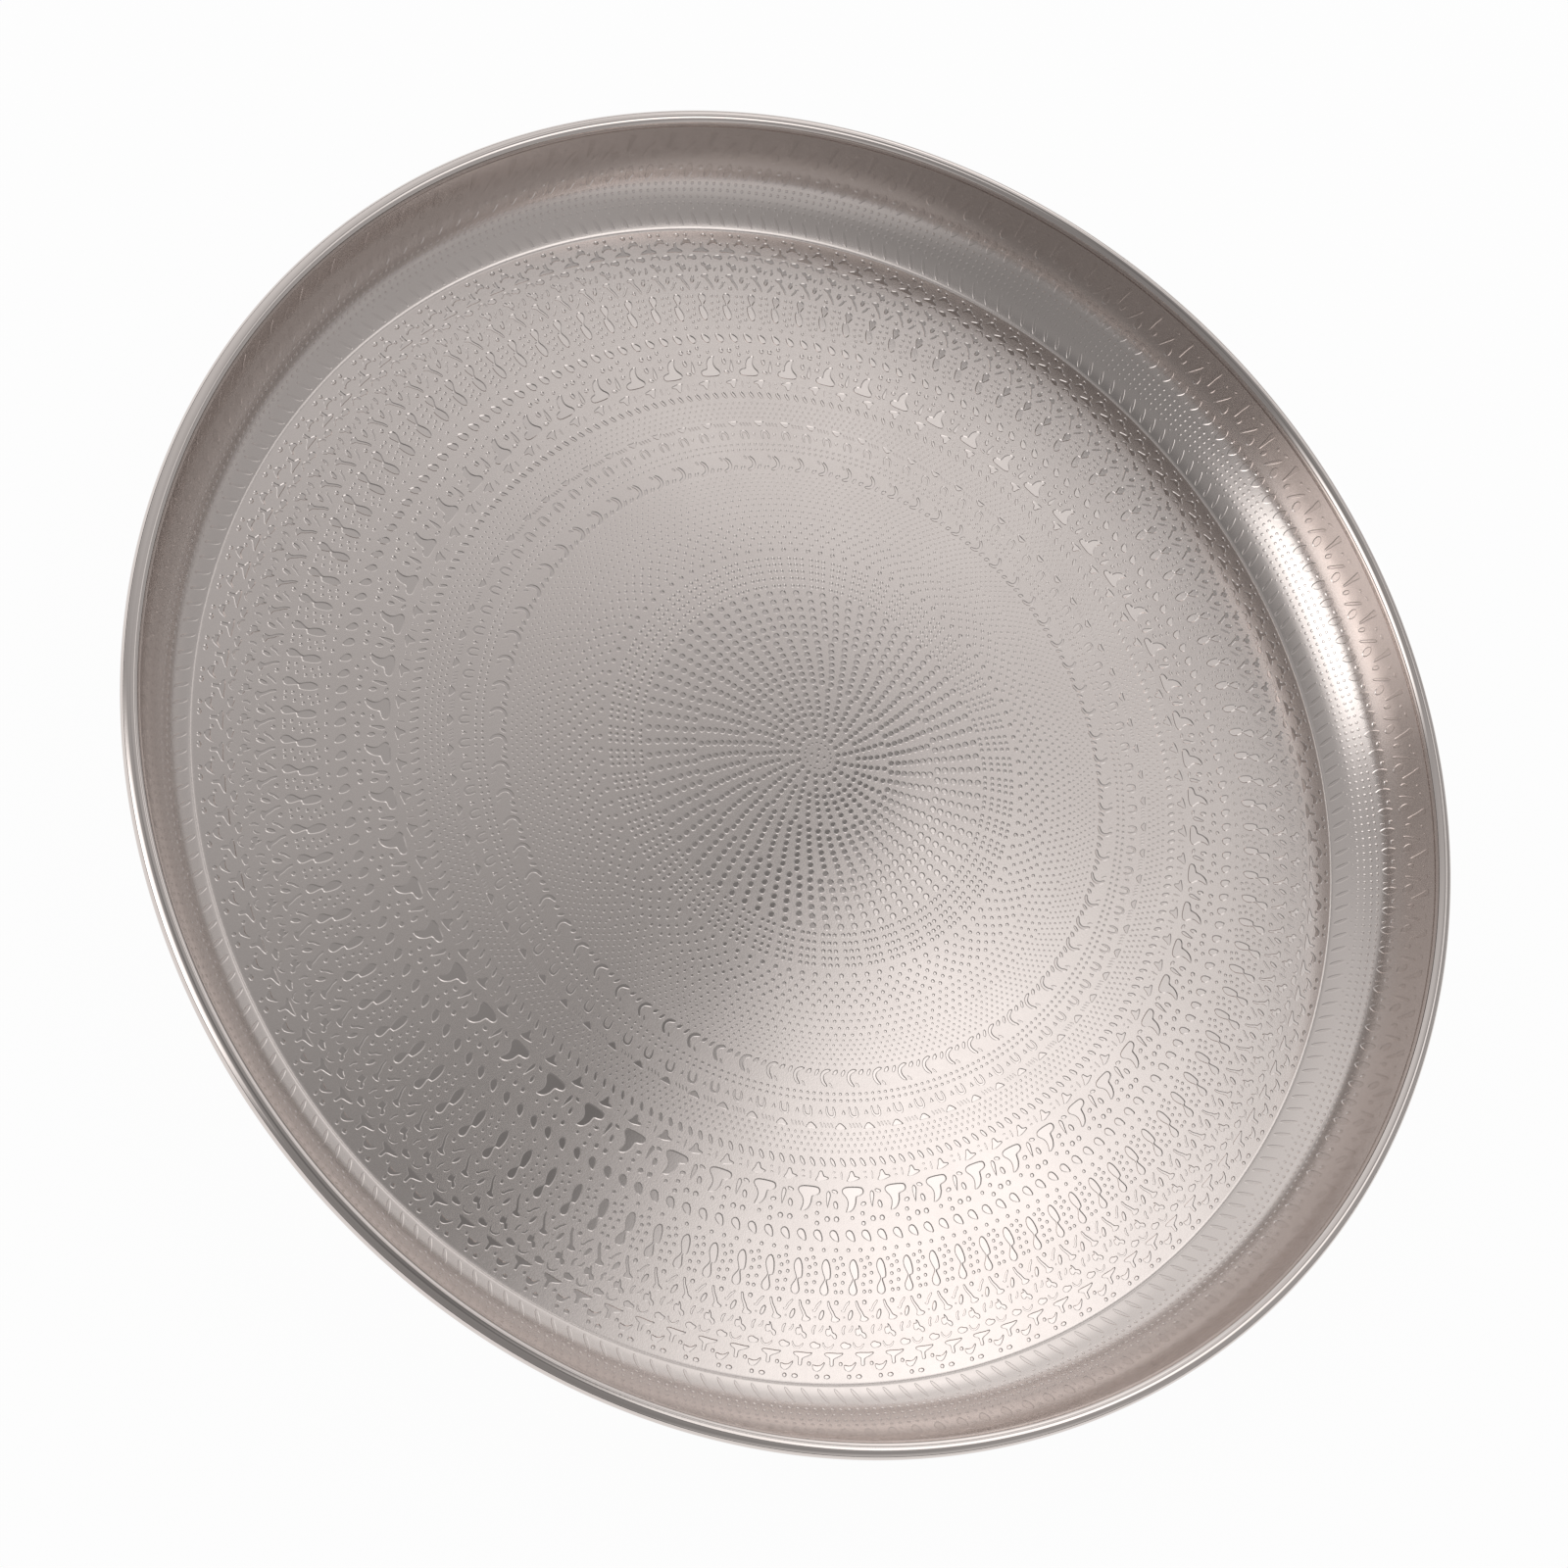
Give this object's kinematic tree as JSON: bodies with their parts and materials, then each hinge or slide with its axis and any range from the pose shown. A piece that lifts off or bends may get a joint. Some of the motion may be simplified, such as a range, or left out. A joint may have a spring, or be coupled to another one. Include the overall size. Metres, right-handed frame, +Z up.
{
  "type": "decorative tray",
  "caption": "Round pressed-steel tray with a flat floor, bowed wall and a wired, rolled rim, for serving or display.",
  "frame": {"origin": "middle of the underside of the floor, where the tray rests", "axes": "+Z up along the tray's axis of revolution, X and Y in the plane of the floor"},
  "size_m": [0.4, 0.4, 0.0365],
  "materials": {
    "pressed_steel": "bright satin stainless steel with embossed ornament",
    "wire_steel": "plain drawn steel wire, hidden in the rolled rim"
  },
  "bodies": {
    "root": {"tray_pan": "pressed_steel", "rim_wire": "wire_steel"}
  },
  "joints": []
}
